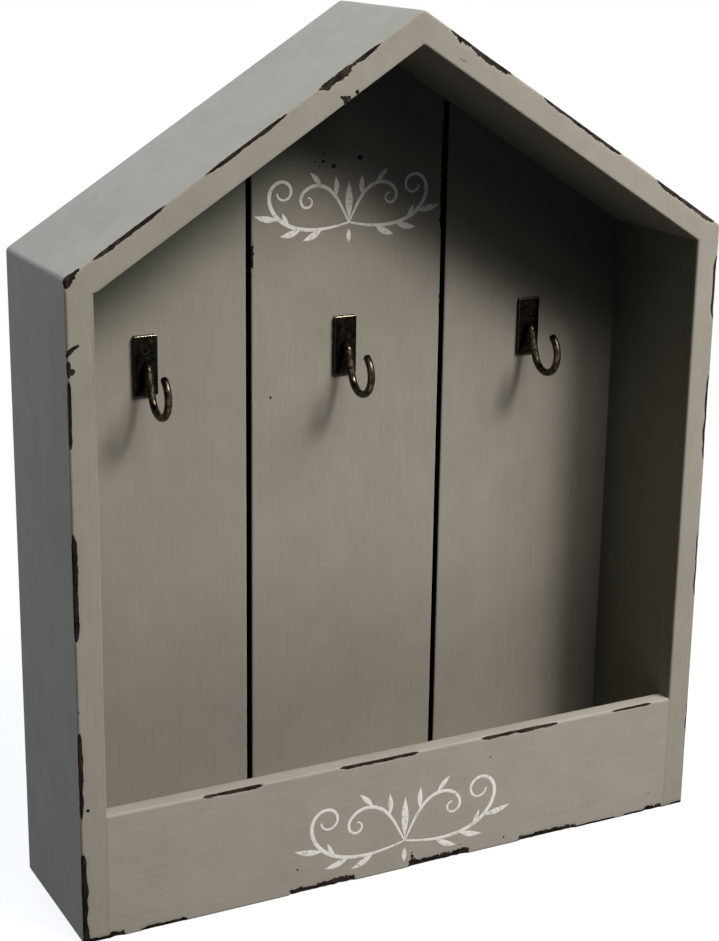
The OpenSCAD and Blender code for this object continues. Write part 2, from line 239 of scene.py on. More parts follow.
def painted(name, tone, brush, extra_wear=None, spots=(), painted_shade=None, painted_pocket_shade=None, dark_edges=False):
    """Matt brushed paint over a dark undercoat, bare where the worn attribute, extra_wear or spots say.

    extra_wear is a function that makes a signal from the place, and so are the two that paint shade:
    one inside the frame and under the roof, one down in the pocket; dark_edges keeps the faces that
    look sideways in undercoat.
    """
    material, shader, root = new_finish(name, Specular_IOR_Level=0.0)
    place = root.node("TexCoord", output="Object")
    worn = root.node("Attribute", {"attribute_name": "worn"}, output="Fac") - WEAR_ZERO
    ragged = root.node("Attribute", {"attribute_name": "ragged"}, output="Fac")
    if extra_wear:
        worn, ragged = extra_wear(place), 0.5
    if spots:
        worn = worn.larger(worn_spots(place, spots))
    bare, lip = chipped(place, worn, ragged)
    broad = place.grain(38 * MM, 2.0)
    cloud = place.grain(9 * MM, 3.0)
    strokes = place.grain(1.1 * MM, 3.0, stretch=brush)
    specks = place.grain(0.9 * MM, 1.0, place=(3.0, 1.0, 2.0)).step(0.74, 0.8)
    light, dark, rubbed = [[c * share for c in tone[:3]] + [1.0] for share in (1.05, 0.93, 1.22)]
    shade = broad * 0.4 + cloud * 0.35 + strokes * 0.25
    colour = shade.step(0.3, 0.68).tint(dark, light)
    colour = (specks * 0.3).tint(colour, UNDERCOAT_RUBBED)
    # Painted shade: darker, greener paint where shade falls inside the house
    if painted_shade:
        colour = painted_shade(place).tint(colour, PAINTED_SHADE_TONE)
    # Painted shade: darker paint down in the pocket
    if painted_pocket_shade:
        colour = painted_pocket_shade(place).tint(colour, POCKET_SHADE_TONE)
    colour = (lip * 0.25).tint(colour, rubbed)
    base = place.grain(3.5 * MM, 4.0, place=(7.0, 2.0, 5.0)).step(0.35, 0.75)
    colour = bare.tint(colour, base.tint(UNDERCOAT, UNDERCOAT_RUBBED))
    if dark_edges:
        sideways = abs(root.node("NewGeometry", output="Normal").part("X"))
        colour = sideways.step(0.75, 0.95).tint(colour, UNDERCOAT)
    height = strokes * STROKE_RELIEF + cloud * CLOUD_RELIEF - bare * PAINT_FILM
    bump = root.node("Bump", inputs={"Height": height, "Strength": 1.0, "Distance": 1.0})
    feed(shader, Base_Color=colour, Roughness=0.62 + strokes * 0.16 - bare * 0.12, Normal=bump)
    return material


# Worn stretches along the planks' gap edges: (edge, lowest, highest, reach), all in millimetres
middle_plank_left = plank_boxes[1][0].x / MM
middle_plank_right = plank_boxes[1][1].x / MM
PLANK_STRETCHES = [
    (middle_plank_left, 219, 227, 0.9),
    (middle_plank_right, 228, 266, 0.9),
    (middle_plank_right, 196, 203, 0.4),
]
# Worn spots: (x, y, z, radius) in millimetres
PLANK_SPOTS = [(x, plank_front_y / MM, z, radius) for x, z, radius in [
    (-31.6, 171.1, 0.55),
    (3.6, 255.6, 0.8),
    (-4.0, 258.5, 0.35),
    (-10.7, 257.4, 0.45),
    (-11.1, 255.0, 0.6),
    (-14.2, 255.2, 0.5),
    (-12.6, 253.6, 0.4),
    (-6.9, 253.2, 0.6),
    (1.7, 250.3, 0.25),
]]
# A slanting scratch, a nick and a pinhole on the left wall's front
WALL_SPOTS = [
    (-125.0, -30, 207.0, 0.75),
    (-124.2, -30, 207.8, 0.8),
    (-123.4, -30, 208.5, 0.75),
    (-122.6, -30, 209.1, 0.65),
    (-121.8, -30, 209.6, 0.5),
    (-121.1, -30, 209.9, 0.35),
    (-123.4, -30, 201.6, 1.0),
    (-122.3, -30, 50.1, 0.65),
]
ROOF_SPOTS = [
    (-29.7, -30, 282.8, 0.5),
    (-28.7, -30, 282.4, 0.8),
    (-28.3, -30, 281.5, 0.8),
    (-27.2, -30, 282.6, 0.7),
    (-24.3, -30, 284.4, 0.6),
    (14.2, -30, 293.5, 0.22),
    (15.3, -30, 293.0, 0.28),
    (16.5, -30, 292.5, 0.22),
]
BOARD_SPOTS = [
    (110.7, -30, 8.2, 0.35),
    (108.4, -30, 7.8, 0.3),
    (42.4, -30, 3.6, 0.4),
    (35.1, -30, 38.0, 0.3),
    (-44.1, -30, 9.8, 0.4),
]


def plank_wear(place):
    across = place.part("X") / MM
    height = place.part("Z") / MM
    found = None
    for edge, low, high, reach in PLANK_STRETCHES:
        inside = (reach - abs(across - edge)).smaller(height - low).smaller(high - height)
        found = inside if found is None else found.larger(inside)
    return found


# Painted shade inside the house: darker, greener paint on the frame's inner faces, most at the back and high
# up, and on the planks up under the roof, and darker paint on the planks down in the pocket. The amounts are
# tuned on the render from the photo's side and match the photo only in part: the left plank comes out too
# dark just under the roof. Without it the paint is plain taupe


def inner_face(into_frame):
    """1 on the frame's inner faces, from the depth below them."""
    return 1 - into_frame.step(0.2 * MM, 1.5 * MM)


def deep_inside(place):
    return 0.4 * place.part("Y").step(-26 * MM, 18 * MM)


# Painted shade on the walls' inner faces, most at the back and high up
def wall_painted_shade(place):
    high_up = place.part("Z").step(150 * MM, 225 * MM)
    return inner_face(abs(place.part("X")) - inner_half_w) * (0.1 + deep_inside(place) + 0.25 * high_up)


# Painted shade on the roof's underside, most at the back
def roof_painted_shade(place):
    into_roof = place.part("Z") + abs(place.part("X")) * math.tan(slope) - roof_under_ridge
    return inner_face(into_roof) * (0.12 + deep_inside(place))


def plank_front(place):
    return 1 - place.part("Y").step(plank_front_y + 1 * MM, plank_front_y + 4 * MM)


# Painted shade on the planks up under the roof
def plank_painted_shade(place):
    below_roof = roof_under_ridge - place.part("Z") - abs(place.part("X")) * math.tan(slope)
    return plank_front(place) * (1 - below_roof.step(8 * MM, 50 * MM)) * 0.8


# Painted shade on the planks down in the pocket, behind the front board
def plank_painted_pocket_shade(place):
    return plank_front(place) * (1 - place.part("Z").step(52 * MM, 122 * MM)) * 0.24


wall_paint = painted("wall_paint", TAUPE, UPRIGHT_BRUSH, spots=WALL_SPOTS, painted_shade=wall_painted_shade)
roof_paint = painted("roof_paint", TAUPE, ROOF_BRUSH, spots=ROOF_SPOTS, painted_shade=roof_painted_shade)
board_paint = painted("board_paint", BOARD_TAUPE, LEVEL_BRUSH, spots=BOARD_SPOTS)
plank_paint = painted("plank_paint", PLANK_TAUPE, UPRIGHT_BRUSH, plank_wear, PLANK_SPOTS,
                      plank_painted_shade, plank_painted_pocket_shade, dark_edges=True)


def scroll_white():
    """Thin white brush paint through which the ground shows here and there."""
    material, shader, root = new_finish("scroll_white", Specular_IOR_Level=0.0, Roughness=0.7)
    place = root.node("TexCoord", output="Object")
    thin = place.grain(1.4 * MM, 3.0).step(0.5, 0.72) * 0.55
    feed(shader, Base_Color=thin.tint(SCROLL_WHITE, TAUPE))
    return material


white_paint = scroll_white()


# Metals

# Light metal of the painted highlight on the plates' edges
PAINTED_HIGHLIGHT = display(158, 148, 124)
# Dark, light and bright tones of the bronze. The plate's are darker than the wire's, partly as painted shade
# for the dark surroundings that its flat face mirrors; the wire's are lighter, partly as painted sheen that
# brightens and widens its highlights
PLATE_TONES_AND_SHADE = (display(11, 10, 8), display(25, 22, 18), display(60, 54, 44))
WIRE_TONES_AND_SHEEN = (display(34, 30, 23), display(76, 68, 54), display(138, 127, 104))
SCREW_TONES = (display(14, 12, 10), display(34, 30, 24), display(96, 88, 72))
ZINC_DARK = display(168, 169, 168)
ZINC_LIGHT = display(198, 198, 194)


def antique_bronze(name, dark, light, bright):
    """Oiled dark bronze with a patina; an attribute marks edges that get a painted highlight in light metal.
    """
    material, shader, root = new_finish(name, Metallic=1.0)
    place = root.node("TexCoord", output="Object")
    patina = place.grain(2.2 * MM, 4.0)
    rubbed = place.grain(1.3 * MM, 3.0, place=(4.0, 0.0, 1.0)).step(0.54, 0.74) * 0.35
    # Painted highlight on the edges that the attribute marks
    painted_highlight = root.node("Attribute", {"attribute_name": "painted_highlight"}, output="Fac")
    colour = patina.step(0.35, 0.7).tint(dark, light)
    colour = rubbed.tint(colour, bright)
    colour = painted_highlight.tint(colour, PAINTED_HIGHLIGHT)
    bump = root.node("Bump", inputs={"Height": patina * (0.03 * MM), "Distance": 1.0})
    feed(shader, Base_Color=colour, Roughness=0.2 + patina * 0.14, Normal=bump)
    return material


def zinc_steel():
    material, shader, root = new_finish("zinc_steel", Metallic=1.0)
    place = root.node("TexCoord", output="Object")
    spangle = place.grain(1.6 * MM, 3.0)
    colour = spangle.step(0.3, 0.7).tint(ZINC_DARK, ZINC_LIGHT)
    bump = root.node("Bump", inputs={"Height": spangle * (0.02 * MM), "Distance": 1.0})
    feed(shader, Base_Color=colour, Roughness=0.3 + spangle * 0.25, Normal=bump)
    return material


plate_bronze = antique_bronze("bronze_plate", *PLATE_TONES_AND_SHADE)
wire_bronze = antique_bronze("bronze_wire", *WIRE_TONES_AND_SHEEN)
screw_bronze = antique_bronze("bronze_screw", *SCREW_TONES)
steel = zinc_steel()


# Pieces

SHARP = math.radians(38)  # edges that turn more than this stay sharp


def place_piece(name, bm, material, slot, *nodes):
    """Makes the mesh an object that rides on the frame and stands for the named nodes."""
    mesh = bpy.data.meshes.new(name)
    for face in bm.faces:
        face.smooth = True
    for edge in bm.edges:
        edge.smooth = edge.calc_face_angle(0) < SHARP
    bm.to_mesh(mesh)
    bm.free()
    mesh.materials.append(material)
    piece = bpy.data.objects.new(name, mesh)
    bpy.context.scene.collection.objects.link(piece)
    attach(piece, "root")
    if nodes:
        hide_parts(*nodes)
    return piece


def roof_top(x, inset=0.0):
    return ridge_h - abs(x) * math.tan(slope) - inset / math.cos(slope)


# How far a point lies from each face of a board, into the wood


def from_front(p):
    return p.y - front_y


def from_back(p):
    return back_y - p.y


def from_wall_face(p):
    return half_w - abs(p.x)


def from_wall_inside(p):
    return frame_t - from_wall_face(p)


def from_roof_face(p):
    return (roof_top(p.x) - p.z) * math.cos(slope)


def from_roof_inside(p):
    return frame_t - from_roof_face(p)


def from_foot(p):
    return p.z


def from_board_top(p):
    return pocket_h - p.z


# Worn stretches (from, to, reach) in millimetres along each arris, which is where two faces meet
WEAR = {
    "left_wall": [
        (from_front, from_wall_face, "z", [(199.5, 205, 1.4), (176, 200, 1.15), (111, 148, 1.7),
                                           (84, 88, 1.0), (47, 79, 1.4), (0, 34, 1.9)]),
        (from_front, from_foot, "x", [(-125, -115, 1.7)]),
        (from_back, from_wall_face, "z", [(20, 44, 1.2), (168, 181, 1.1)]),
    ],
    "right_wall": [
        (from_front, from_wall_face, "z", [(196, 220, 1.7), (142, 175, 1.6), (86, 114, 1.25),
                                           (30, 44, 1.1)]),
        (from_front, from_foot, "x", [(118, 125, 1.2)]),
        (from_back, from_wall_face, "z", [(88, 117, 1.2)]),
    ],
    "left_roof": [
        (from_front, from_roof_face, "x", [(-116, -90.5, 1.4), (-78, -48.5, 1.25), (-40, -35, 1.1),
                                           (-37, -25, 2.6), (-26, -15.5, 1.3)]),
        (from_back, from_roof_face, "x", [(-70, -58, 1.1)]),
    ],
    "right_roof": [
        (from_front, from_roof_face, "x", [(10.5, 34, 2.0), (47, 81, 1.4), (96, 122, 1.7)]),
        (from_back, from_roof_face, "x", [(30, 52, 1.2)]),
    ],
    "front_board": [
        (from_front, from_board_top, "x", [(-81, -57, 1.3), (-28, 5, 1.3), (31, 65, 1.3),
                                           (88, 108, 1.05)]),
        (from_front, from_foot, "x", [(-115.5, -110, 2.3), (-104, -87, 1.6), (-47.5, -21, 2.7),
                                      (1.5, 27, 2.9), (49, 74.5, 2.4), (74, 93, 1.1), (97, 108, 1.3),
                                      (107, 115, 2.2)]),
    ],
}
# Worn spots (place, radius) in millimetres
WORN_SPOTS = [
    ((-124.6, -30, 230.3), 2.1),
    ((-123.2, -30, 232.2), 1.9),
    ((-121.5, -30, 234.2), 1.5),
]
WEAR_FAR = 8  # millimetres beyond which an arris wears nothing
WEAR_CUTS = (1.2 * MM, 2.2 * MM, 3.4 * MM, 5.5 * MM)  # depths at which boards are cut for the wear
WEAR_PITCH = 1.1 * MM  # step of their mesh along an arris


def depth_in_wear(point, arrises):
    """Millimetres that a point lies inside the wear, and how ragged the wear's outline is there."""
    found, ragged = -WEAR_ZERO, 0.3
    for face_a, face_b, axis, stretches in arrises:
        end_share = 0.85 if face_b is from_foot else 0.45
        teeth = 0.25 if face_b is from_wall_face else 1.0
        away = (2 * face_a(point) + face_b(point)) / MM
        if away > WEAR_FAR:
            continue
        along = getattr(point, axis) / MM
        for start, end, reach in stretches:
            to_end = min(along - start, end - along)
            taper = min(1.0, end_share + to_end / 6)
            swell = reach * (0.95 + 0.4 * noise.noise((along / 6, start, 0))) * taper
            depth = min(swell - away, to_end)
            if depth > found:
                found, ragged = depth, min(teeth, max(0.12, (reach - 1.0) / 1.3))
    for spot, radius in WORN_SPOTS:
        depth = radius - (point / MM - Vector(spot)).length
        if depth > found:
            found, ragged = depth, 0.6
    return found, ragged


def into_wood(point, face):
    """The direction in which the distance from a face grows."""
    here = face(point)
    reach = 0.1 * MM
    steps = (Vector((reach, 0, 0)), Vector((0, reach, 0)), Vector((0, 0, reach)))
    return Vector([(face(point + step) - here) / reach for step in steps])


def wear_down(bm, name):
    """Stores each vertex's depth in the wear, and sinks the worn ones to the undercoat."""
    worn_layer = bm.verts.layers.float.new("worn")
    ragged_layer = bm.verts.layers.float.new("ragged")
    for vert in bm.verts:
        depth, vert[ragged_layer] = depth_in_wear(vert.co, WEAR[name])
        vert[worn_layer] = max(0.0, depth + WEAR_ZERO)
        if depth <= 0:
            continue
        bite = min(1.0, depth / 0.8) * (0.35 + 0.25 * noise.noise(vert.co / (1.7 * MM))) * MM
        inward = Vector()
        for face in {arris[side] for arris in WEAR[name] for side in (0, 1)}:
            inward += into_wood(vert.co, face) * max(0.0, 1 - face(vert.co) / ease)
        if inward.length > 0.01:
            vert.co += inward.normalized() * bite


def cut_along(bm, point, normal):
    bmesh.ops.bisect_plane(bm, geom=bm.verts[:] + bm.edges[:] + bm.faces[:], dist=SAME,
                           plane_co=point, plane_no=normal)


def keep_behind(bm, point, normal):
    """Saws the mesh off at a plane, keeps what lies behind it, and closes the cut."""
    cut = bmesh.ops.bisect_plane(bm, geom=bm.verts[:] + bm.edges[:] + bm.faces[:], dist=SAME,
                                 plane_co=point, plane_no=normal, clear_outer=True)["geom_cut"]
    edges = [part for part in cut if isinstance(part, bmesh.types.BMEdge)]
    bmesh.ops.holes_fill(bm, edges=edges, sides=0)
    bmesh.ops.recalc_face_normals(bm, faces=bm.faces)


def ease_edges(bm, edges, offset, segments):
    bmesh.ops.bevel(bm, geom=edges, offset=offset, offset_type="OFFSET", segments=segments,
                    profile=0.5, affect="EDGES", material=-1, clamp_overlap=False)


def divide_lengthwise(bm, direction):
    """Cuts every long edge that runs along the direction into pieces of about the wear's pitch."""
    runs = {}
    for edge in bm.edges:
        span = edge.verts[1].co - edge.verts[0].co
        if span.length > 12 * MM and abs(span.normalized().dot(direction)) > 0.999:
            low = min(vert.co.z for vert in edge.verts) < pocket_h - TINY
            runs.setdefault(low, []).append(edge)
    for edges in runs.values():
        longest = max(edge.calc_length() for edge in edges)
        bmesh.ops.subdivide_edges(bm, edges=edges, cuts=int(longest / WEAR_PITCH), use_grid_fill=True)


def gable(inset):
    """Outline of the house in the X-Z plane, moved inward, open at the foot."""
    w = half_w - inset
    eave = roof_top(w, inset)
    return [(-w, 0), (-w, eave), (0, roof_top(0, inset)), (w, eave), (w, 0)]


def house_arch():
    """Walls and roof as one arch, its outer corners rounded and its arrises eased."""
    bm = bmesh.new()
    outer, inner = [[bm.verts.new((x, front_y, z)) for x, z in gable(inset)] for inset in (0, frame_t)]
    sheet = [bm.faces.new((outer[i], outer[i + 1], inner[i + 1], inner[i])) for i in range(4)]
    raised = bmesh.ops.extrude_face_region(bm, geom=sheet)["geom"]
    raised = [part for part in raised if isinstance(part, bmesh.types.BMVert)]
    bmesh.ops.translate(bm, verts=raised, vec=(0, back_y - front_y, 0))
    bmesh.ops.recalc_face_normals(bm, faces=bm.faces)
    for x, turn in ((-half_w, math.pi / 2 - slope), (0, 2 * slope), (half_w, math.pi / 2 - slope)):
        corner = [edge for edge in bm.edges
                  if all(abs(v.co.x - x) < TINY and v.co.z > eave_h - TINY for v in edge.verts)]
        ease_edges(bm, corner, corner_r * math.tan(turn / 2), 5)
    cut_along(bm, (0, 0, pocket_h), (0, 0, 1))

    def on_arris(edge):
        ends = [vert.co for vert in edge.verts]
        outside = all(min(from_wall_face(p), from_roof_face(p)) < 0.4 * MM for p in ends)
        at_front = all(from_front(p) < TINY for p in ends)
        at_back = all(from_back(p) < TINY for p in ends)
        at_foot = all(from_foot(p) < TINY for p in ends)
        inside = all(min(from_wall_face(p), from_roof_face(p)) > frame_t - TINY for p in ends)
        above = all(p.z > pocket_h - TINY for p in ends)
        if at_foot:
            return outside or at_front or at_back
        return (outside and (at_front or at_back)) or (inside and at_front and above)

    ease_edges(bm, [edge for edge in bm.edges if on_arris(edge)], ease, 4)
    return bm


def frame_boards():
    """Saws the arch at its three mitres into walls and roof boards, and wears each one."""
    arch = house_arch()
    eave = Vector((half_w, 0, eave_h))
    mitre = (eave - Vector((inner_half_w, 0, roof_top(inner_half_w, frame_t)))).normalized()
    above = Vector((mitre.z, 0, -mitre.x))
    roof_run = Vector((math.cos(slope), 0, -math.sin(slope)))
    for side, letter in ((-1, "left"), (1, "right")):
        mirrored = Vector((side, 1, 1))
        corner = eave * mirrored
        up = above * mirrored
        if up.z < 0:
            up = -up
        wall = arch.copy()
        keep_behind(wall, corner, up)
        keep_behind(wall, (0, 0, 0), (-side, 0, 0))
        for reach in WEAR_CUTS:
            cut_along(wall, (side * (half_w - reach), 0, 0), (1, 0, 0))
            cut_along(wall, (0, front_y + reach, 0), (0, 1, 0))
        divide_lengthwise(wall, Vector((0, 0, 1)))
        yield letter + "_wall", wall
        roof = arch.copy()
        keep_behind(roof, corner, -up)
        keep_behind(roof, (0, 0, 0), (-side, 0, 0))
        normal = Vector((side * math.sin(slope), 0, math.cos(slope)))
        for reach in WEAR_CUTS:
            cut_along(roof, corner - normal * reach, normal)
            cut_along(roof, corner - normal * (frame_t - reach), normal)
            cut_along(roof, (0, front_y + reach, 0), (0, 1, 0))
        divide_lengthwise(roof, roof_run * mirrored)
        yield letter + "_roof", roof
    arch.free()


def pocket_board():
    """Front board of the pocket, its long arrises eased."""
    bm = bmesh.new()
    low, high = board_box
    bmesh.ops.create_cube(bm, size=1.0)
    bmesh.ops.scale(bm, verts=bm.verts, vec=high - low)
    bmesh.ops.translate(bm, verts=bm.verts, vec=(low + high) / 2)
    arrises = [edge for edge in bm.edges
               if abs(edge.verts[0].co.x - edge.verts[1].co.x) > 0.1
               and (edge.verts[0].co.z > high.z - TINY or edge.verts[0].co.y < low.y + TINY)]
    ease_edges(bm, arrises, ease, 4)
    for reach in WEAR_CUTS[:3]:
        cut_along(bm, (0, 0, reach), (0, 0, 1))
        cut_along(bm, (0, 0, high.z - reach), (0, 0, 1))
        cut_along(bm, (0, low.y + reach, 0), (0, 1, 0))
    divide_lengthwise(bm, Vector((1, 0, 0)))
    return bm


board_meshes = dict(frame_boards())
board_meshes["front_board"] = pocket_board()
for name, bm in board_meshes.items():
    wear_down(bm, name)
    paint = wall_paint if "wall" in name else roof_paint if "roof" in name else board_paint
    piece = place_piece("painted_" + name, bm, paint, "frame_paint", name)
    flat = piece.modifiers.new("flat_faces", "WEIGHTED_NORMAL")
    flat.keep_sharp = True


def bent_wire(x, height):
    """The J-shaped wire: drawn in the X-Y plane, X out of the plank and Y up, then set on its plate."""
    bm = bmesh.new()
    plate_t = plank_front_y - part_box("hook_plate_middle")[0].y
    ring = bmesh.ops.create_circle(bm, segments=24, radius=wire_d / 2)["verts"]
    # The ring faces along the wire; it starts inside the plate and looks outward
    bmesh.ops.rotate(bm, verts=ring, matrix=Matrix.Rotation(math.pi / 2, 3, "Y"))
    bmesh.ops.translate(bm, verts=ring, vec=(plate_t * 0.5, 0, 0))
    edges = bm.edges[:]

    def draw_out(vec):
        nonlocal edges
        made = bmesh.ops.extrude_edge_only(bm, edges=edges)["geom"]
        verts = [part for part in made if isinstance(part, bmesh.types.BMVert)]
        edges = [part for part in made if isinstance(part, bmesh.types.BMEdge)
                 and all(v in verts for v in part.verts)]
        bmesh.ops.translate(bm, verts=verts, vec=vec)
        return verts

    def bend(centre, angle, steps):
        nonlocal edges
        made = bmesh.ops.spin(bm, geom=edges, cent=centre, axis=(0, 0, 1), angle=angle, steps=steps)
        edges = [part for part in made["geom_last"] if isinstance(part, bmesh.types.BMEdge)]

    draw_out((plate_t * 0.5, 0, 0))
    lean = Matrix.Rotation(leg_lean, 3, "Z")
    heel = Vector((plate_t, -bend_r, 0))
    bend(heel, -(math.pi / 2 - leg_lean), 14)
    down = lean @ Vector((0, -1, 0))
    for _ in range(4):
        draw_out(down * leg_l / 4)
    bowl_centre = heel + lean @ Vector((bend_r + bowl_r, -leg_l, 0))
    bend(bowl_centre, bowl_turn, 56)
    end = math.pi + bowl_turn + leg_lean
    along = Vector((-math.sin(end), math.cos(end), 0))
    tip = bowl_centre + bowl_r * Vector((math.cos(end), math.sin(end), 0))
    steps = 5
    for k in range(1, steps + 1):
        before = math.pi / 2 * (k - 1) / steps
        now = math.pi / 2 * k / steps
        rise = (math.sin(now) - math.sin(before)) * wire_d / 2 * 0.55
        verts = draw_out(along * rise)
        middle = sum((v.co for v in verts), Vector()) / len(verts)
        shrink = max(0.08, math.cos(now)) / max(0.08, math.cos(before))
        bmesh.ops.scale(bm, verts=verts, vec=(shrink,) * 3, space=Matrix.Translation(-middle))
    bmesh.ops.contextual_create(bm, geom=edges)
    bmesh.ops.remove_doubles(bm, verts=bm.verts, dist=SAME)
    bmesh.ops.holes_fill(bm, edges=[e for e in bm.edges if e.is_boundary], sides=0)
    out_of_plank = Matrix(((0, 0, -1), (-1, 0, 0), (0, 1, 0)))
    bmesh.ops.rotate(bm, verts=bm.verts, matrix=out_of_plank)
    bmesh.ops.translate(bm, verts=bm.verts, vec=(x, plank_front_y, height))
    bmesh.ops.recalc_face_normals(bm, faces=bm.faces)
    return bm


def hook_plate(low, high):
    """A small plate with rounded corners, an eased front and a countersink, drawn from its screw hole."""
    bm = bmesh.new()
    hole = Vector(((low.x + high.x) / 2, low.y, (low.z + high.z) / 2 + screw_rise))
    rim = bmesh.ops.create_circle(bm, segments=48, radius=sink_d / 2)["verts"]
    bmesh.ops.rotate(bm, verts=rim, matrix=Matrix.Rotation(math.pi / 2, 3, "X"))
    bmesh.ops.translate(bm, verts=rim, vec=hole)

    def draw(edges, depth=0.0):
        made = bmesh.ops.extrude_edge_only(bm, edges=edges)["geom"]
        verts = [part for part in made if isinstance(part, bmesh.types.BMVert)]
        bmesh.ops.translate(bm, verts=verts, vec=(0, depth, 0))
        return verts, [part for part in made if isinstance(part, bmesh.types.BMEdge)
                       and all(v in verts for v in part.verts)]

    rim_edges = bm.edges[:]
    outline, outline_edges = draw(rim_edges)
    for vert in outline:
        ray = vert.co - hole
        room_x = high.x - hole.x if ray.x > 0 else hole.x - low.x
        room_z = high.z - hole.z if ray.z > 0 else hole.z - low.z
        vert.co = hole + ray / max(abs(ray.x) / room_x, abs(ray.z) / room_z)
    for corner in [Vector((x, low.y, z)) for x in (low.x, high.x) for z in (low.z, high.z)]:
        nearest = min(outline, key=lambda vert: (vert.co - corner).length)
        nearest.co = corner
    plate_t = high.y - low.y
    sink_depth = (sink_d - bore_d) / 2
    narrowing = bore_d / sink_d
    _, back_edges = draw(outline_edges, plate_t)
    sunk, sunk_edges = draw(rim_edges, sink_depth)
    bmesh.ops.scale(bm, verts=sunk, vec=(narrowing, 1, narrowing), space=Matrix.Translation(-hole))
    _, bore_edges = draw(sunk_edges, plate_t - sink_depth)
    bmesh.ops.bridge_loops(bm, edges=back_edges + bore_edges)
    bmesh.ops.recalc_face_normals(bm, faces=bm.faces)
    corners = [edge for edge in bm.edges if all(
        min(v.co.x - low.x, high.x - v.co.x) < TINY and min(v.co.z - low.z, high.z - v.co.z) < TINY
        for v in edge.verts)]
    ease_edges(bm, corners, plate_corner_r, 4)
    front = [edge for edge in bm.edges if all(
        v.co.y < low.y + TINY and (v.co - hole).length > sink_d / 2 + TINY for v in edge.verts)
        and len({round(face.normal.y) for face in edge.link_faces}) == 2]
    ease_edges(bm, front, plate_ease, 3)
    # Painted highlight: the upper edge lightest, where the lamps catch it, a trace on the sides and foot
    painted_highlight_layer = bm.verts.layers.float.new("painted_highlight")
    for vert in bm.verts:
        _, y, z = vert.co
        if low.y + TINY < y < high.y - TINY and (vert.co - hole).length > sink_d / 2 + 0.2 * MM:
            at_top, above_foot = z > high.z - plate_ease, z > low.z + plate_ease
            vert[painted_highlight_layer] = 0.55 if at_top else 0.06 if above_foot else 0.02
    return bm


for side in ("left", "middle", "right"):
    low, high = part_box("hook_plate_" + side)
    plate = hook_plate(low, high)
    place_piece("eased_hook_plate_" + side, plate, plate_bronze, "hook_bronze", "hook_plate_" + side)
    wire = bent_wire((low.x + high.x) / 2, (low.z + high.z) / 2)
    place_piece("bent_hook_wire_" + side, wire, wire_bronze, "hook_bronze", "hook_wire_" + side)

# Painted scrolls, all in millimetres. A stem is a start, a heading in degrees, bends and a width, a bend
# being a length with its first and last curvature; a leaf is its stem's number, the distance along that
# stem, a turn, a length, a curvature and a width
SCROLL_STEMS = [
    ((0, -6), -14, [(17, 0.01, 0.045), (13, 0.05, 0.12), (20, 0.14, 0.5)], 1.2),
    ((0, -6), 62, [(10, 0.02, -0.06), (12, -0.1, -0.2), (10, -0.25, -0.8)], 1.1),
]
SCROLL_LEAVES = [
    (0, 9, -35, 7, 0.06, 1.9),
    (0, 16, -38, 7, 0.06, 1.9),
    (0, 24, -42, 8, 0.05, 1.9),
    (1, 9, 45, 6, -0.05, 1.7),
    (1, 15, 40, 5.5, -0.05, 1.6),
    (0, 20, 24, 4.5, 0.10, 1.3),
]
PAINT_RELIEF = 0.015  # how far brush paint stands proud, as a share of a stroke's half width


def brush_line(start, heading, bends):
    """Points (x, z, heading) of a line whose curvature changes evenly along each bend."""
    x, z = start
    turn = math.radians(heading)
    points = [(x, z, turn)]
    for length, first, last in bends:
        count = max(3, round(length / 0.5))
        pitch = length / count
        for i in range(count):
            turn += (first + (last - first) * (i + 0.5) / count) * pitch
            x += math.cos(turn) * pitch
            z += math.sin(turn) * pitch
            points.append((x, z, turn))
    return points


def scroll_strokes():
    """Brush strokes of the ornament as (points, width, sharp): right half, left half, middle."""
    stems = [(brush_line(start, heading, bends), sum(bend[0] for bend in bends), width)
             for start, heading, bends, width in SCROLL_STEMS]
    half = [(points, width, False) for points, length, width in stems]
    for number, at, turn, length, curvature, width in SCROLL_LEAVES:
        points, stem_length, _ = stems[number]
        x, z, heading = points[round(at / stem_length * (len(points) - 1))]
        line = brush_line((x, z), math.degrees(heading) + turn, [(length, curvature, curvature)])
        half.append((line, width, True))
    mirrored = [([(-x, z, turn) for x, z, turn in points], width, sharp)
                for points, width, sharp in half]
    bud = (brush_line((0, -5), 90, [(11, 0, 0)]), 2.4, True)
    drop = (brush_line((0, -8), -90, [(4, 0, 0)]), 1.5, True)
    return half + mirrored + [bud, drop]


def painted_scroll(name, slot, centre, scale, width_scale):
    """The ornament as flat swelling strokes of paint on an upright face, centred on a point of it."""
    data = bpy.data.curves.new(name, "CURVE")
    data.dimensions = "3D"
    data.bevel_depth = 0.5 * MM
    data.bevel_resolution = 2
    for points, width, sharp in scroll_strokes():
        line = data.splines.new("POLY")
        line.points.add(len(points) - 1)
        for i, (x, z, _) in enumerate(points):
            swell = math.sin(math.pi * i / (len(points) - 1))
            if not sharp:
                swell = 0.45 + 0.55 * swell
            line.points[i].co = (x * scale * MM, 0, z * scale * MM, 1)
            line.points[i].radius = width * width_scale * max(0.1, swell)
    drawn = bpy.data.objects.new(name + "_line", data)
    bpy.context.scene.collection.objects.link(drawn)
    mesh = bpy.data.meshes.new_from_object(drawn)
    bpy.data.objects.remove(drawn)
    bm = bmesh.new()
    bm.from_mesh(mesh)
    bmesh.ops.scale(bm, verts=bm.verts, vec=(1, 2 * PAINT_RELIEF, 1))
    bmesh.ops.translate(bm, verts=bm.verts, vec=centre)
    bmesh.ops.recalc_face_normals(bm, faces=bm.faces)
    place_piece(name, bm, white_paint, slot)


painted_scroll("plank_scroll", "plank_paint", (-0.65 * MM, plank_front_y, 240 * MM), 1.2, 1.2)
painted_scroll("board_scroll", "frame_paint", (-0.5 * MM, front_y, 20.5 * MM), 1.45, 1.2)

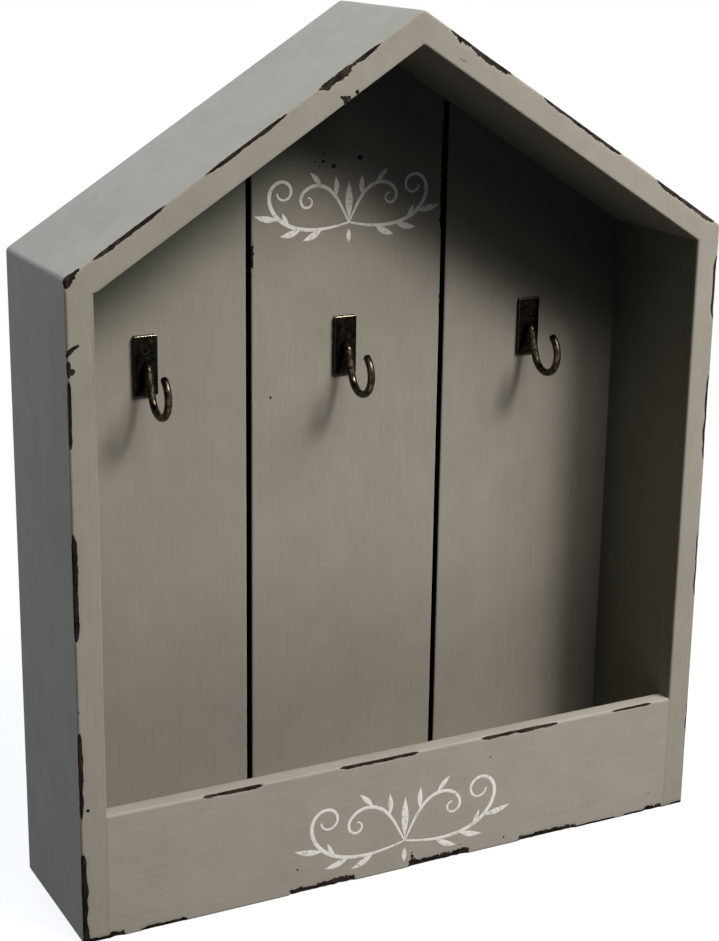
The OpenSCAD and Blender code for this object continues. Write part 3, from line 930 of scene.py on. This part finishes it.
# Nodes that keep their solids: a finish, and a fine bevel on the metal ones
for name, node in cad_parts.items():
    if "hook" in name:
        finish = screw_bronze
    elif "hanger" in name or "brads" in name:
        finish = steel
    elif "plank" in name:
        finish = plank_paint
    else:
        finish = board_paint
    node.data.materials.clear()
    node.data.materials.append(finish)
    if finish in (screw_bronze, steel) and not node.hide_render:
        weld = node.modifiers.new("weld", "WELD")
        weld.merge_threshold = SAME
        soft = node.modifiers.new("soft_edges", "BEVEL")
        soft.width = 0.08 * MM
        soft.segments = 2
        soft.limit_method = "ANGLE"
        soft.angle_limit = math.radians(40)

# Camera: place, turn and lens were solved from the photograph's straight edges, in a picture of this size
PHOTO_W = 719
PHOTO_H = 941
camera_data = bpy.data.cameras.new("camera")
camera = bpy.data.objects.new("camera", camera_data)
bpy.context.scene.collection.objects.link(camera)
bpy.context.scene.camera = camera
camera.location = (-0.31426, -0.58806, 0.34792)
camera.rotation_euler = [math.radians(turn) for turn in (73.637, -0.376, -26.038)]
camera_data.lens = 73.71
# The lens axis meets the picture at this pixel, a little off its middle
axis_x = 310
axis_y = 452
camera_data.shift_x = (PHOTO_W / 2 - axis_x) / PHOTO_H
camera_data.shift_y = (axis_y - PHOTO_H / 2) / PHOTO_H
camera_data.clip_start = 10 * MM

# Floor, white to the eye but for the object's shadow; it throws little light back
FLOOR_GREY = (0.05, 0.05, 0.05, 1)
WHITE = (1, 1, 1, 1)
floor_data = bpy.data.meshes.new("floor")
floor_mesh = bmesh.new()
bmesh.ops.create_grid(floor_mesh, x_segments=1, y_segments=1, size=4.0)
floor_mesh.to_mesh(floor_data)
floor_mesh.free()
floor = bpy.data.objects.new("floor", floor_data)
bpy.context.scene.collection.objects.link(floor)
floor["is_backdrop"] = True


def seen_directly(root):
    """1 for rays from the eye and for those that metal or glass sends on, 0 for the rest."""
    seen = root.node("LightPath", output="Is Camera Ray")
    for kind in ("Is Glossy Ray", "Is Transmission Ray"):
        seen = seen.larger(root.node("LightPath", output=kind))
    return seen


floor_material, shader, root = new_finish("floor", Roughness=0.9)
seen = seen_directly(root)
feed(shader, Base_Color=seen.tint(FLOOR_GREY, WHITE))
white = root.node("Emission", inputs={"Strength": 1.0})
surface = Signal(root.tree, shader.outputs["BSDF"])
# Near the object a fifth of what is seen is the lit surface, so that its shadow stays
far = root.node("TexCoord", output="Object").away_from((0, 0, 0)).step(0.15, 0.45)
mixed = root.node("MixShader", inputs={0: seen * (0.8 + far * 0.2), 1: surface, 2: white})
root.tree.links.new(mixed.socket, root.tree.nodes["Material Output"].inputs["Surface"])
floor_data.materials.append(floor_material)

# World, white to the eye; it throws no light
world = bpy.data.worlds.new("studio")
bpy.context.scene.world = world
world.use_nodes = True
background = world.node_tree.nodes["Background"]
sky = Signal(world.node_tree)
background.inputs["Color"].default_value = WHITE
world.node_tree.links.new(seen_directly(sky).socket, background.inputs["Strength"])


LAMP_CENTRE = Vector((0, 0, 0.15))


def area_light(name, direction, distance, size, power, colour, aim=0.15, spread=180):
    """A soft square lamp in that direction from the object, turned to a height on its middle line."""
    data = bpy.data.lights.new(name, "AREA")
    data.shape = "SQUARE"
    data.size = size
    data.energy = power
    data.color = colour
    data.spread = math.radians(spread)
    lamp = bpy.data.objects.new(name, data)
    bpy.context.scene.collection.objects.link(lamp)
    lamp.location = LAMP_CENTRE + Vector(direction).normalized() * distance
    lamp.rotation_mode = "QUATERNION"
    lamp.rotation_quaternion = (lamp.location - Vector((0, 0, aim))).to_track_quat("Z", "Y")


area_light("key", (0.517, -1, 1.04), 1.5, 0.28, 3.2, (1, 0.97, 0.93), aim=-0.15, spread=95)
area_light("broad", (0.8, -1, 1.2), 1.0, 0.38, 3.0, (0.98, 1, 1), aim=-0.15, spread=95)
area_light("front", (0.12, -1, 1.15), 1.4, 0.4, 1.6, (0.97, 1, 0.98), aim=-0.15, spread=95)
area_light("overhead", (-0.4, 0.7, 1.3), 1.2, 0.8, 16.3, (0.7, 0.85, 1))
area_light("left", (-1, 0.55, 0.2), 1.2, 0.6, 4.35, (0.8, 0.91, 1))

bpy.context.scene.view_settings.view_transform = "Standard"
boxes = {"cad": cad_box, "visual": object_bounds()}
{name: [list(low), list(high)] for name, (low, high) in boxes.items()}
